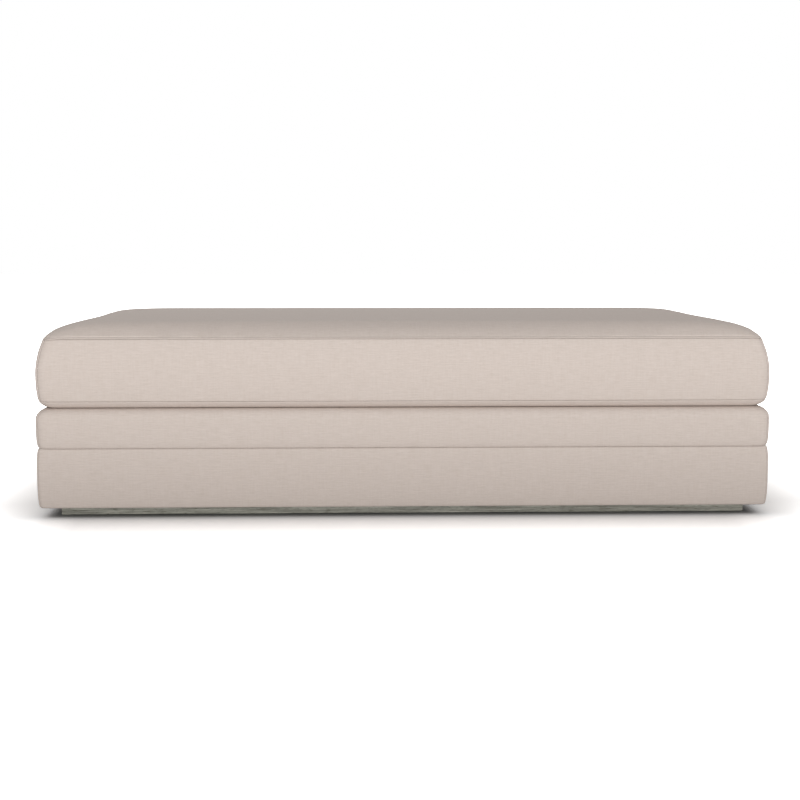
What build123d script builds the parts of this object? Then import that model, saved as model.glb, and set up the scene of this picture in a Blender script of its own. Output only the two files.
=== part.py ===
from build123d import *
import os
from math import cos, radians, sin, sqrt

# Upholstered ottoman: a loose box cushion on a padded band, a plain base panel and a low recessed plinth.
# Millimetres. The origin is on the floor at the middle of the plan, +X runs along the width,
# +Y towards the back and +Z up, and the front faces -Y.

# Plan size, over the fullest part of the padded band
width = 1780.0
depth = 1000.0

# One cut overrun, one right angle and one layer of woven cover for the whole ottoman
overrun = 5.0
quarter_turn = 90.0
fabric_thickness = 1.5

# Plinth: flat boards laid in a mitred ring, on nylon glides
glide_height = 1.5
glide_radius = 11.0
glide_end_setback = 60.0
glides_per_row = 4
plinth_height = 21.5
plinth_width = 45.0
plinth_inset = 52.0
plinth_edge_round = 1.2

# Underside
dust_cover_thickness = 0.6
dust_cover_inset = 30.0
staple_crown = 10.0
staple_leg = 9.0
staple_wire = 0.8
staple_inset = 38.0
staple_pitch = 150.0

# Frame
frame_inset = 15.0
bottom_board_thickness = 18.0
bottom_board_width = 95.0
rail_thickness = 22.0
rail_height = 171.0
post_size = 45.0
support_thickness = 22.0
support_height = 105.0
support_count = 2
support_spacing = 590.0

# Wood screws
screw_head_radius = 4.4
screw_head_height = 3.4
screw_shank_radius = 2.2
screw_point = 5.0
plinth_screw_length = 35.0
board_screw_length = 45.0
post_screw_length = 50.0
screw_clearance = 0.1
plinth_screw_setback = 150.0
plinth_screw_steps = 2
board_screw_steps = 3
side_screw_spacing = 400.0
post_screw_x_height_shares = (0.30, 0.80)
post_screw_y_height_shares = (0.20, 0.62)

# Springs, of zigzag wire stretched from the front rail to the rear rail
spring_count = 14
spring_bars = 30
spring_width = 50.0
spring_wire_side = 3.4
clip_thickness = 1.2
clip_width = 24.0
clip_seat = 16.0
clip_clearance = 0.1
tie_wire_radius = 1.25
tie_wire_spacing = 330.0
tie_wire_end_gap = 2.0

# Deck over the springs
insulator_thickness = 3.0
insulator_setback = 1.0
deck_pad_height = 40.0
edge_roll_width = 60.0
wadding_joint = 0.4
deck_seam_inset = 80.0

# Base panel cover
base_inset = 2.0
base_cover_height = 146.2
base_flange_inset = 70.0
base_draw_in = 6.0
base_corner_radius = 14.0
base_profile_shares = ((0.0, 1.0), (0.02, 0.72), (0.06, 0.50), (0.13, 0.25), (0.26, 0.05),
                       (0.50, 0.0), (0.78, 0.0), (0.90, 0.12), (0.96, 0.36), (1.0, 0.75))

# Padded band above it
band_draw_in = 6.5
band_corner_radius = 25.0
band_edge_radius = 26.0
band_profile_shares = ((0.0, 1.0), (0.06, 0.55), (0.16, 0.25), (0.34, 0.06), (0.62, 0.0))
quarter_turn_steps = 10

# Loose cushion
cushion_gap = 0.3
cushion_inset = 1.5
curl_height = 15.0
curl_draw_in = 22.0
curl_profile_shares = ((0.0, 1.0), (0.06, 0.70), (0.22, 0.42), (0.48, 0.18), (0.76, 0.04), (1.0, 0.0))
boxing_height = 151.0
seam_draw_in = 16.0
cushion_corner_radius = 28.0
boxing_profile_shares = ((0.0, 0.66), (0.05, 0.52), (0.14, 0.24), (0.25, 0.06), (0.36, 0.01), (0.46, 0.0),
                         (0.56, 0.04), (0.68, 0.19), (0.81, 0.44), (0.92, 0.76), (1.0, 1.0))
crown_height = 38.0
crown_front_falloff = 135.0
crown_front_share = 0.36
crown_side_falloff = 123.0
crown_corner_growth_share = 0.8
core_height = 150.0
core_corner_radius = 20.0
side_wrap = 21.5
bottom_wrap = 12.0

# Zip in the rear boxing
zip_length = 1500.0
zip_slot_height = 26.0
zip_recess = 10.5
zip_tape_thickness = 0.8
zip_coil_width = 2.6
zip_coil_height = 2.4
zip_parting = 1.6
zip_end_margin = 32.0
zip_stop_length = 4.0
zip_stop_thickness = 1.0
slider_length = 12.0
slider_plate = 1.2
slider_wall = 1.0
slider_post_width = 1.0
slider_post_length = 7.0
slider_clearance = 0.3
lug_length = 3.0
lug_width = 1.0
pull_bar_radius = 0.8
pull_eye_clearance = 0.2
pull_eye_wall = 0.7
pull_eye_width = 4.0
pull_thickness = 1.2
pull_neck_length = 5.0
pull_width = 8.0
pull_length = 26.0
pull_hole_radius = 1.7

# Heights that follow from the sizes above
plinth_top = glide_height + plinth_height
cover_bottom = plinth_top + dust_cover_thickness
frame_bottom = cover_bottom + fabric_thickness
rail_bottom = frame_bottom + bottom_board_thickness
rail_top = rail_bottom + rail_height
base_seam = cover_bottom + base_cover_height
clip_ring_inner = spring_wire_side / sqrt(2) + clip_clearance
clip_ring_outer = clip_ring_inner + clip_thickness
spring_height = rail_top + clip_ring_outer
insulator_bottom = rail_top + 2 * clip_ring_outer
insulator_top = insulator_bottom + insulator_thickness
pad_top = insulator_top + deck_pad_height
band_top = pad_top + fabric_thickness
cushion_bottom = band_top + cushion_gap
lower_seam = cushion_bottom + curl_height
upper_seam = lower_seam + boxing_height
overall_height = upper_seam + crown_height

# Plan places that follow from them
frame_width = width - 2 * frame_inset
frame_depth = depth - 2 * frame_inset
inner_width = frame_width - 2 * rail_thickness
inner_depth = frame_depth - 2 * rail_thickness
edge_roll_inset = frame_inset + edge_roll_width
sides = ("front", "rear", "left", "right")

os.makedirs("parts", exist_ok=True)


def write_piece(piece, node):
    """Label a finished piece and write its file."""
    piece.part.label = node
    export_step(piece.part, f"parts/{node}.step")


def mitred_side(side, outer_inset, inner_inset):
    """Corner points of one side of a rectangular ring, mitred at both ends."""
    outer_x, outer_y = width / 2 - outer_inset, depth / 2 - outer_inset
    inner_x, inner_y = width / 2 - inner_inset, depth / 2 - inner_inset
    front = [(-outer_x, -outer_y), (outer_x, -outer_y), (inner_x, -inner_y), (-inner_x, -inner_y)]
    left = [(-outer_x, outer_y), (-outer_x, -outer_y), (-inner_x, -inner_y), (-inner_x, inner_y)]
    if side in ("front", "left"):
        return front if side == "front" else left
    return [(-x, -y) for x, y in (front if side == "rear" else left)]


def slab(size_x, size_y, low, high):
    """Plain rectangular slab about the middle of the plan, between two heights."""
    with BuildPart() as block:
        with BuildSketch(Plane.XY.offset(low)):
            Rectangle(size_x, size_y)
        extrude(amount=high - low)
    return block.part


def inset_slab(inset, low, high):
    """Slab that stands in by the same inset on all four sides."""
    return slab(width - 2 * inset, depth - 2 * inset, low, high)


def soft_block(levels):
    """Closed form through rounded rectangles, each at a height, an inset and a corner radius."""
    with BuildPart() as block:
        for height, inset, radius in levels:
            with BuildSketch(Plane.XY.offset(height)):
                RectangleRounded(width - 2 * inset, depth - 2 * inset, radius)
        loft(ruled=True)
    return block.part


def wall_levels(low, high, inset, draw_in, radius, profile_shares):
    """Levels of a soft wall from its table of height and draw-in shares."""
    return [(low + (high - low) * rise, inset + draw_in * drawn, radius) for rise, drawn in profile_shares]


def side_of(ring, side, reach, gap=0):
    """One side of a ring-shaped form, cut from it along the mitres or that gap outside them."""
    outward = {"front": (0, -gap), "rear": (0, gap), "left": (-gap, 0), "right": (gap, 0)}
    with BuildPart() as piece:
        add(ring)
        with BuildSketch(Plane.XY):
            with Locations(outward[side]):
                Polygon(*mitred_side(side, -overrun, reach), align=None)
        extrude(amount=overall_height + overrun, mode=Mode.INTERSECT)
    return piece


def wood_screw(length, clearance):
    """Countersunk wood screw along +Z from its head, or the hole that it needs when a clearance is given."""
    head, shank = screw_head_radius + clearance, screw_shank_radius + clearance
    with BuildPart() as screw:
        with BuildSketch(Plane.XZ):
            Polygon((0, 0), (head, 0), (shank, screw_head_height), (shank, length - screw_point),
                    (clearance, length + clearance), (0, length + clearance), align=None)
        revolve(axis=Axis.Z)
    return screw.part


def driven(length, clearance, places):
    """Wood screws, or their holes, at a list of places."""
    with BuildPart() as group:
        with Locations(*places):
            add(wood_screw(length, clearance))
    return group


# Screw places. Plinth screws go up through the plinth into the bottom boards, board screws up
# through the bottom boards into the rails, and post screws in through the rails into the posts.
plinth_line_inset = plinth_inset + plinth_width / 2
plinth_line_x = width / 2 - plinth_line_inset
plinth_line_y = depth / 2 - plinth_line_inset
plinth_screw_x = plinth_line_x - plinth_screw_setback
plinth_screw_pitch = plinth_screw_x / plinth_screw_steps
plinth_screw_places = [Location((x * plinth_screw_pitch, y * plinth_line_y, glide_height))
                       for x in range(-plinth_screw_steps, plinth_screw_steps + 1) for y in (-1, 1)]
plinth_screw_places += [Location((x * plinth_line_x, y * side_screw_spacing / 2, glide_height))
                        for x in (-1, 1) for y in (-1, 1)]

rail_line_x = frame_width / 2 - rail_thickness / 2
rail_line_y = frame_depth / 2 - rail_thickness / 2
board_screw_pitch = frame_width / (2 * board_screw_steps + 2)
board_screw_places = [Location((x * board_screw_pitch, y * rail_line_y, frame_bottom))
                      for x in range(-board_screw_steps, board_screw_steps + 1) for y in (-1, 1)]
board_screw_places += [Location((x * rail_line_x, y * side_screw_spacing / 2, frame_bottom))
                       for x in (-1, 1) for y in (-1, 1)]

post_x = inner_width / 2 - post_size / 2
post_y = inner_depth / 2 - post_size / 2
post_screw_x_heights = [rail_bottom + rail_height * share for share in post_screw_x_height_shares]
post_screw_y_heights = [rail_bottom + rail_height * share for share in post_screw_y_height_shares]
post_screw_places = [Location((x * post_x, y * frame_depth / 2, height), (y * quarter_turn, 0, 0))
                     for x in (-1, 1) for y in (-1, 1) for height in post_screw_x_heights]
post_screw_places += [Location((x * frame_width / 2, y * post_y, height), (0, -x * quarter_turn, 0))
                      for x in (-1, 1) for y in (-1, 1) for height in post_screw_y_heights]

plinth_screw_holes = driven(plinth_screw_length, screw_clearance, plinth_screw_places).part
board_screw_holes = driven(board_screw_length, screw_clearance, board_screw_places).part
post_screw_holes = driven(post_screw_length, screw_clearance, post_screw_places).part


# Plinth boards, mitred at the corners, with eased outer edges and countersunk screw holes
for side in sides:
    with BuildPart() as plinth_board:
        with BuildSketch(Plane.XY.offset(glide_height)):
            Polygon(*mitred_side(side, plinth_inset, plinth_inset + plinth_width), align=None)
        extrude(amount=plinth_height)
        long_axis = Axis.X if side in ("front", "rear") else Axis.Y
        long_edges = plinth_board.edges().filter_by(long_axis).sort_by(SortBy.LENGTH)
        fillet(long_edges[-2:], radius=plinth_edge_round)
        add(plinth_screw_holes, mode=Mode.SUBTRACT)
    write_piece(plinth_board, f"plinth_{side}_board")

# Nylon glides under the plinth: a row under the front and rear boards, one under each side board
glide_pitch = (2 * plinth_line_x - 2 * glide_end_setback) / (glides_per_row - 1)
with BuildPart() as floor_glides:
    with BuildSketch(Plane.XY):
        with GridLocations(glide_pitch, 2 * plinth_line_y, glides_per_row, 2):
            Circle(glide_radius)
        with Locations((-plinth_line_x, 0), (plinth_line_x, 0)):
            Circle(glide_radius)
    extrude(amount=glide_height)
write_piece(floor_glides, "floor_glides")

plinth_screws = driven(plinth_screw_length, 0, plinth_screw_places)
write_piece(plinth_screws, "plinth_screws")

# Thin dust cover between the plinth and the frame
with BuildPart() as dust_cover:
    add(inset_slab(dust_cover_inset, plinth_top, cover_bottom))
    add(plinth_screw_holes, mode=Mode.SUBTRACT)
write_piece(dust_cover, "dust_cover")

# Bottom boards, laid flat in a ring: front and rear run the full width
for side, facing in (("front", -1), ("rear", 1)):
    with BuildPart() as bottom_board:
        with BuildSketch(Plane.XY.offset(frame_bottom)):
            with Locations((0, facing * (frame_depth - bottom_board_width) / 2)):
                Rectangle(frame_width, bottom_board_width)
        extrude(amount=bottom_board_thickness)
        add(plinth_screw_holes, mode=Mode.SUBTRACT)
        add(board_screw_holes, mode=Mode.SUBTRACT)
    write_piece(bottom_board, f"bottom_board_{side}")

for side, facing in (("left", -1), ("right", 1)):
    with BuildPart() as bottom_board:
        with BuildSketch(Plane.XY.offset(frame_bottom)):
            with Locations((facing * (frame_width - bottom_board_width) / 2, 0)):
                Rectangle(bottom_board_width, frame_depth - 2 * bottom_board_width)
        extrude(amount=bottom_board_thickness)
        add(plinth_screw_holes, mode=Mode.SUBTRACT)
        add(board_screw_holes, mode=Mode.SUBTRACT)
    write_piece(bottom_board, f"bottom_board_{side}")

# Cross boards between them, one under each centre support
with BuildPart() as bottom_cross_boards:
    with BuildSketch(Plane.XY.offset(frame_bottom)):
        with GridLocations(support_spacing, 0, support_count, 1):
            Rectangle(bottom_board_width, frame_depth - 2 * bottom_board_width)
    extrude(amount=bottom_board_thickness)
write_piece(bottom_cross_boards, "bottom_cross_boards")

with BuildPart() as centre_supports:
    with BuildSketch(Plane.XY.offset(rail_bottom)):
        with GridLocations(support_spacing, 0, support_count, 1):
            Rectangle(support_thickness, inner_depth)
    extrude(amount=support_height)
write_piece(centre_supports, "centre_supports")

# Upright rails: front and rear run the full width, the side rails fit between them
for side, facing in (("front", -1), ("rear", 1)):
    with BuildPart() as rail:
        with BuildSketch(Plane.XY.offset(rail_bottom)):
            with Locations((0, facing * rail_line_y)):
                Rectangle(frame_width, rail_thickness)
        extrude(amount=rail_height)
        add(board_screw_holes, mode=Mode.SUBTRACT)
        add(post_screw_holes, mode=Mode.SUBTRACT)
    write_piece(rail, f"{side}_rail")

for side, facing in (("left", -1), ("right", 1)):
    with BuildPart() as rail:
        with BuildSketch(Plane.XY.offset(rail_bottom)):
            with Locations((facing * rail_line_x, 0)):
                Rectangle(rail_thickness, inner_depth)
        extrude(amount=rail_height)
        add(board_screw_holes, mode=Mode.SUBTRACT)
        add(post_screw_holes, mode=Mode.SUBTRACT)
    write_piece(rail, f"{side}_rail")

# Corner posts inside the rails
with BuildPart() as corner_posts:
    with BuildSketch(Plane.XY.offset(rail_bottom)):
        with GridLocations(2 * post_x, 2 * post_y, 2, 2):
            Rectangle(post_size, post_size)
    extrude(amount=rail_height)
    add(post_screw_holes, mode=Mode.SUBTRACT)
write_piece(corner_posts, "corner_posts")

board_screws = driven(board_screw_length, 0, board_screw_places)
write_piece(board_screws, "board_screws")
post_screws = driven(post_screw_length, 0, post_screw_places)
write_piece(post_screws, "post_screws")


def spring_clip(facing):
    """Steel clip on a rail's top edge, with a ring that holds the end bar of a spring."""
    ring_y = facing * (inner_depth / 2 - clip_ring_outer)
    seat_length = clip_seat + clip_ring_outer
    with BuildPart() as clip:
        with BuildSketch(Plane.YZ):
            with Locations((ring_y, spring_height)):
                Circle(clip_ring_outer)
            with Locations((ring_y + facing * seat_length / 2, rail_top + clip_thickness / 2)):
                Rectangle(seat_length, clip_thickness)
            with Locations((ring_y, spring_height)):
                Circle(clip_ring_inner, mode=Mode.SUBTRACT)
            with Locations((ring_y + facing * clip_ring_outer / 2, spring_height + clip_ring_outer / 2)):
                Rectangle(clip_ring_outer, clip_ring_outer, mode=Mode.SUBTRACT)
        extrude(amount=clip_width / 2, both=True)
    return clip.part


# Spring clips on the front and rear rails, one at each end of a spring
spring_pitch = inner_width / spring_count
for side, facing in (("front", -1), ("rear", 1)):
    with BuildPart() as spring_clips:
        with GridLocations(spring_pitch, 0, spring_count, 1):
            add(spring_clip(facing))
    write_piece(spring_clips, f"{side}_spring_clips")


# Zigzag springs, each one bent wire: bars across it, joined by half turns
spring_span = inner_depth - 2 * clip_ring_outer
bar_pitch = spring_span / (spring_bars - 1)
bar_end = (spring_width - bar_pitch) / 2
with BuildPart() as one_spring:
    with BuildSketch(Plane.XY.offset(spring_height - spring_wire_side / 2)):
        with BuildLine():
            for bar in range(spring_bars):
                bar_y = bar * bar_pitch - spring_span / 2
                far_end = bar_end if bar % 2 == 0 else -bar_end
                turn_x = far_end + (bar_pitch / 2 if far_end > 0 else -bar_pitch / 2)
                next_y = bar_y + bar_pitch
                Line((-far_end, bar_y), (far_end, bar_y))
                if bar < spring_bars - 1:
                    ThreePointArc((far_end, bar_y), (turn_x, bar_y + bar_pitch / 2), (far_end, next_y))
            offset(amount=spring_wire_side / 2)
        make_face()
    extrude(amount=spring_wire_side)

with BuildPart() as sinuous_springs:
    with GridLocations(spring_pitch, 0, spring_count, 1):
        add(one_spring.part)
write_piece(sinuous_springs, "sinuous_springs")

# Tie wires across the springs, close under them
with BuildPart() as tie_wires:
    tie_height = spring_height - spring_wire_side / 2 - tie_wire_radius
    with BuildSketch(Plane.YZ):
        with Locations((-tie_wire_spacing / 2, tie_height), (tie_wire_spacing / 2, tie_height)):
            Circle(tie_wire_radius)
    extrude(amount=inner_width / 2 - tie_wire_end_gap, both=True)
write_piece(tie_wires, "tie_wires")

# Felt insulator over the springs and clips, and the foam pad on it
with BuildPart() as spring_insulator:
    add(inset_slab(frame_inset + insulator_setback, insulator_bottom, insulator_top))
write_piece(spring_insulator, "spring_insulator")

with BuildPart() as deck_pad:
    add(inset_slab(edge_roll_inset, insulator_top, pad_top))
write_piece(deck_pad, "deck_pad")

with BuildPart() as deck_cloth:
    add(inset_slab(deck_seam_inset, pad_top, band_top))
write_piece(deck_cloth, "deck_cloth")


def base_levels(layer):
    """Levels of the base panel's outer face, or of the face one layer of cover further in."""
    return wall_levels(cover_bottom + layer, base_seam, base_inset + layer, base_draw_in,
                       base_corner_radius, base_profile_shares)


# Base panel: wadding against the frame, and a cover turned under at the bottom
base_form = soft_block(base_levels(0))
base_inside = soft_block(base_levels(fabric_thickness))
frame_block = inset_slab(frame_inset, frame_bottom, insulator_top)

with BuildPart() as base_shell:
    add(base_form)
    add(base_inside, mode=Mode.SUBTRACT)
    add(inset_slab(base_flange_inset, 0, frame_bottom), mode=Mode.SUBTRACT)

with BuildPart() as base_wadding_ring:
    add(base_inside)
    add(frame_block, mode=Mode.SUBTRACT)

with BuildPart() as base_wadding:
    for side in sides:
        add(side_of(base_wadding_ring.part, side, edge_roll_inset, wadding_joint).part.solids())
write_piece(base_wadding, "base_wadding")

for side in sides:
    base_cover = side_of(base_shell.part, side, base_flange_inset + overrun)
    write_piece(base_cover, f"base_cover_{side}")


def band_levels(layer):
    """Levels of the band: its bulging wall, then a quarter turn over the top edge."""
    round_start = band_top - band_edge_radius
    levels = wall_levels(base_seam, round_start, layer, band_draw_in, band_corner_radius, band_profile_shares)
    for step in range(quarter_turn_steps + 1):
        turn = radians(quarter_turn * step / quarter_turn_steps)
        rise = (band_edge_radius - layer) * sin(turn)
        inset = layer + (band_edge_radius - layer) * (1 - cos(turn))
        levels.append((round_start + rise, inset, band_corner_radius))
    return levels


# Band: wadding on the rails, edge rolls above them, and a cover that laps onto the deck
band_form = soft_block(band_levels(0))
band_inside = soft_block(band_levels(fabric_thickness))

with BuildPart() as band_shell:
    add(band_form)
    add(band_inside, mode=Mode.SUBTRACT)
    add(inset_slab(deck_seam_inset, base_seam, overall_height), mode=Mode.SUBTRACT)

with BuildPart() as band_wadding_ring:
    add(band_inside)
    add(inset_slab(-overrun, insulator_top, overall_height), mode=Mode.SUBTRACT)
    add(frame_block, mode=Mode.SUBTRACT)

with BuildPart() as edge_roll_ring:
    add(band_inside)
    add(inset_slab(-overrun, 0, insulator_top), mode=Mode.SUBTRACT)
    add(inset_slab(edge_roll_inset, insulator_top, overall_height), mode=Mode.SUBTRACT)

for side in sides:
    band_cover = side_of(band_shell.part, side, deck_seam_inset + overrun)
    write_piece(band_cover, f"band_cover_{side}")

with BuildPart() as band_wadding:
    for side in sides:
        add(side_of(band_wadding_ring.part, side, edge_roll_inset, wadding_joint).part.solids())
write_piece(band_wadding, "band_wadding")

with BuildPart() as edge_rolls:
    for side in sides:
        add(side_of(edge_roll_ring.part, side, edge_roll_inset + overrun, wadding_joint).part.solids())
write_piece(edge_rolls, "edge_rolls")


def staple():
    """Wire staple driven upwards, its crown along X at the height of the origin."""
    with BuildPart() as wire:
        with BuildSketch(Plane.XZ):
            with Locations((0, staple_leg / 2)):
                Rectangle(staple_crown, staple_leg)
            with Locations((0, staple_leg / 2 + staple_wire)):
                Rectangle(staple_crown - 2 * staple_wire, staple_leg, mode=Mode.SUBTRACT)
        extrude(amount=staple_wire / 2, both=True)
    return wire.part


# Staples that hold the dust cover and the turned-under cover to the bottom boards
staple_x = width / 2 - staple_inset
staple_y = depth / 2 - staple_inset
staple_height = plinth_top - staple_wire
steps_x = int(staple_x / staple_pitch)
steps_y = int(staple_y / staple_pitch)
staple_places = [Location((step * staple_pitch, side * staple_y, staple_height))
                 for step in range(-steps_x, steps_x + 1) for side in (-1, 1)]
staple_places += [Location((side * staple_x, step * staple_pitch, staple_height), (0, 0, quarter_turn))
                  for step in range(-steps_y, steps_y + 1) for side in (-1, 1)]
with BuildPart() as cover_staples:
    with Locations(*staple_places):
        add(staple())
write_piece(cover_staples, "cover_staples")


def curl_levels(layer):
    """Levels of the cushion's bottom panel, which curls out and up to the lower seam."""
    seam_inset = cushion_inset + seam_draw_in * boxing_profile_shares[0][1] + layer
    return wall_levels(cushion_bottom + layer, lower_seam, seam_inset, curl_draw_in,
                       cushion_corner_radius, curl_profile_shares)


def boxing_levels(layer):
    """Levels of the cushion's boxing, full in the middle and drawn in at both seams."""
    return wall_levels(lower_seam, upper_seam, cushion_inset + layer, seam_draw_in,
                       cushion_corner_radius, boxing_profile_shares)


def crown_block(layer):
    """Crown of the cushion: steep at the side seams, gentler at the front and rear ones."""
    seam_inset = cushion_inset + seam_draw_in + layer
    with BuildPart() as block:
        for step in range(quarter_turn_steps + 1):
            turn = radians(quarter_turn * step / quarter_turn_steps)
            side_drawn = crown_side_falloff * (1 - cos(turn))
            front_drawn = crown_front_falloff * (1 - max(0, 1 - sin(turn)) ** crown_front_share)
            size_x = width - 2 * (seam_inset + side_drawn)
            size_y = depth - 2 * (seam_inset + front_drawn)
            radius = cushion_corner_radius + crown_corner_growth_share * side_drawn
            with BuildSketch(Plane.XY.offset(upper_seam + (crown_height - layer) * sin(turn))):
                RectangleRounded(size_x, size_y, radius)
        loft(ruled=True)
    return block.part


# Cushion forms: the outside, and the inside of one layer of cover
curl_form = soft_block(curl_levels(0))
curl_inside = soft_block(curl_levels(fabric_thickness))
boxing_form = soft_block(boxing_levels(0))
boxing_inside = soft_block(boxing_levels(fabric_thickness))
crown_form = crown_block(0)
crown_inside = crown_block(fabric_thickness)

with BuildPart() as cushion_top_panel:
    add(crown_form)
    add(crown_inside, mode=Mode.SUBTRACT)
write_piece(cushion_top_panel, "cushion_top_panel")

with BuildPart() as cushion_bottom_panel:
    add(curl_form)
    add(curl_inside, mode=Mode.SUBTRACT)
write_piece(cushion_bottom_panel, "cushion_bottom_panel")

with BuildPart() as boxing_shell:
    add(boxing_form)
    add(boxing_inside, mode=Mode.SUBTRACT)

# How far in each side of the boxing is cut, past its rounded corners
boxing_reach = cushion_inset + seam_draw_in + cushion_corner_radius
for side in ("front", "left", "right"):
    boxing = side_of(boxing_shell.part, side, boxing_reach)
    write_piece(boxing, f"boxing_{side}")

# Zip places, measured on the rear boxing
zip_height = (lower_seam + upper_seam) / 2
tape_face_y = depth / 2 - cushion_inset - zip_recess
tape_back_y = tape_face_y - zip_tape_thickness
coil_face_y = tape_face_y + zip_coil_height
slider_back_y = tape_back_y - slider_clearance - slider_plate
slider_face_y = coil_face_y + slider_clearance + slider_plate
pull_eye_radius = pull_bar_radius + pull_eye_clearance + pull_eye_wall
pull_bar_y = slider_face_y + slider_clearance + pull_eye_radius
slider_x = zip_length / 2 - zip_end_margin - zip_stop_length - slider_clearance - slider_length / 2


def rear_block(size_x, near_y, far_y, low, high, centre_x=0):
    """Plain block in the rear boxing, between two depths and two heights."""
    with BuildPart() as block:
        with BuildSketch(Plane.XY.offset(low)):
            with Locations((centre_x, (near_y + far_y) / 2)):
                Rectangle(size_x, far_y - near_y)
        extrude(amount=high - low)
    return block.part


slot_low = zip_height - zip_slot_height / 2
slot_high = zip_height + zip_slot_height / 2
beyond_y = depth / 2 + overrun
slot_lining = rear_block(zip_length + 2 * fabric_thickness, tape_back_y, beyond_y,
                         slot_low - fabric_thickness, slot_high + fabric_thickness)
slot_room = rear_block(zip_length, tape_back_y - overrun, beyond_y, slot_low, slot_high)
slot_back_room = rear_block(zip_length + 2 * fabric_thickness, slider_back_y - slider_clearance, beyond_y,
                            slot_low - fabric_thickness, slot_high + fabric_thickness)

# Rear boxing in two strips, each folded in along the zip
for half, low, high in (("lower", 0, zip_height), ("upper", zip_height, overall_height)):
    with BuildPart() as rear_strip:
        add(side_of(boxing_shell.part, "rear", boxing_reach).part)
        add(slot_lining)
        add(slot_room, mode=Mode.SUBTRACT)
        add(boxing_form, mode=Mode.INTERSECT)
        add(inset_slab(-overrun, low, high), mode=Mode.INTERSECT)
    write_piece(rear_strip, f"boxing_rear_{half}")

# Foam core, and the wrap that fills the cover round it in two halves
with BuildPart() as cushion_foam_core:
    core_low = cushion_bottom + fabric_thickness + bottom_wrap
    core_inset = cushion_inset + fabric_thickness + side_wrap
    add(inset_slab(core_inset, core_low, core_low + core_height))
    fillet(cushion_foam_core.edges(), radius=core_corner_radius)
write_piece(cushion_foam_core, "cushion_foam_core")

with BuildPart() as stuffing:
    add(curl_inside)
    add(boxing_inside)
    add(crown_inside)
    add(slot_back_room, mode=Mode.SUBTRACT)
    add(cushion_foam_core.part, mode=Mode.SUBTRACT)

for half, low, high in (("bottom", 0, zip_height), ("top", zip_height, overall_height)):
    with BuildPart() as wrap:
        add(stuffing.part)
        add(inset_slab(-overrun, low, high), mode=Mode.INTERSECT)
    write_piece(wrap, f"cushion_wrap_{half}")

# Zip: two tapes sewn to the folded strips, with a row of coil along each
with BuildPart() as zip_tapes:
    add(rear_block(zip_length, tape_back_y, tape_face_y, slot_low, zip_height - zip_parting / 2))
    add(rear_block(zip_length, tape_back_y, tape_face_y, zip_height + zip_parting / 2, slot_high))
write_piece(zip_tapes, "zip_tapes")

coil_near = zip_parting / 2
coil_reach = coil_near + zip_coil_width
coil_length = zip_length - 2 * zip_end_margin
with BuildPart() as zip_coils:
    add(rear_block(coil_length, tape_face_y, coil_face_y, zip_height - coil_reach, zip_height - coil_near))
    add(rear_block(coil_length, tape_face_y, coil_face_y, zip_height + coil_near, zip_height + coil_reach))
write_piece(zip_coils, "zip_coils")

stop_x = coil_length / 2 - zip_stop_length / 2
with BuildPart() as zip_end_stops:
    for x in (-stop_x, stop_x):
        add(rear_block(zip_stop_length, coil_face_y, coil_face_y + zip_stop_thickness,
                       zip_height - coil_reach, zip_height + coil_reach, centre_x=x))
write_piece(zip_end_stops, "zip_end_stops")

# Slider: two plates joined by a post that runs between the coils, side walls down past the coils,
# and two lugs that carry the pull's bar
wall_in = coil_reach + slider_clearance
wall_out = wall_in + slider_wall
with BuildPart() as zip_slider:
    add(rear_block(slider_length, slider_back_y, slider_back_y + slider_plate,
                   zip_height - wall_out, zip_height + wall_out, centre_x=slider_x))
    add(rear_block(slider_length, slider_face_y - slider_plate, slider_face_y,
                   zip_height - wall_out, zip_height + wall_out, centre_x=slider_x))
    add(rear_block(slider_post_length, slider_back_y, slider_face_y,
                   zip_height - slider_post_width / 2, zip_height + slider_post_width / 2, centre_x=slider_x))
    for direction in (-1, 1):
        wall_low, wall_high = sorted((zip_height + direction * wall_in, zip_height + direction * wall_out))
        add(rear_block(slider_length, tape_face_y + slider_clearance, slider_face_y,
                       wall_low, wall_high, centre_x=slider_x))
        lug_in = pull_eye_width / 2 + slider_clearance
        lug_out = lug_in + lug_width
        lug_low, lug_high = sorted((zip_height + direction * lug_in, zip_height + direction * lug_out))
        add(rear_block(lug_length, slider_face_y - slider_plate, pull_bar_y + lug_length / 2,
                       lug_low, lug_high, centre_x=slider_x))
    with BuildSketch(Plane.XY.offset(zip_height - lug_in - lug_width / 2)):
        with Locations((slider_x, pull_bar_y)):
            Circle(pull_bar_radius)
    extrude(amount=2 * lug_in + lug_width)
write_piece(zip_slider, "zip_slider")

# Pull: an eye round the bar, a neck between the lugs and a flat tab with a hole
with BuildPart() as zip_pull:
    with BuildSketch(Plane.XY.offset(zip_height - pull_eye_width / 2)):
        with Locations((slider_x, pull_bar_y)):
            Circle(pull_eye_radius)
    extrude(amount=pull_eye_width)
    add(rear_block(pull_neck_length, pull_bar_y - pull_thickness / 2, pull_bar_y + pull_thickness / 2,
                   zip_height - pull_eye_width / 2, zip_height + pull_eye_width / 2,
                   centre_x=slider_x - pull_neck_length / 2))
    tab_length = pull_length - pull_neck_length
    with BuildSketch(Plane.XZ.offset(-pull_bar_y - pull_thickness / 2)):
        with Locations((slider_x - pull_neck_length - tab_length / 2, zip_height)):
            RectangleRounded(tab_length, pull_width, pull_width / 2 - pull_thickness)
        with Locations((slider_x - pull_length + pull_width / 2, zip_height)):
            Circle(pull_hole_radius, mode=Mode.SUBTRACT)
    extrude(amount=pull_thickness)
    with BuildSketch(Plane.XY.offset(zip_height - pull_eye_width)):
        with Locations((slider_x, pull_bar_y)):
            Circle(pull_bar_radius + pull_eye_clearance)
    extrude(amount=2 * pull_eye_width, mode=Mode.SUBTRACT)
write_piece(zip_pull, "zip_pull")
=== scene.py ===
from math import cos, pi, radians, sin

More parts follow.
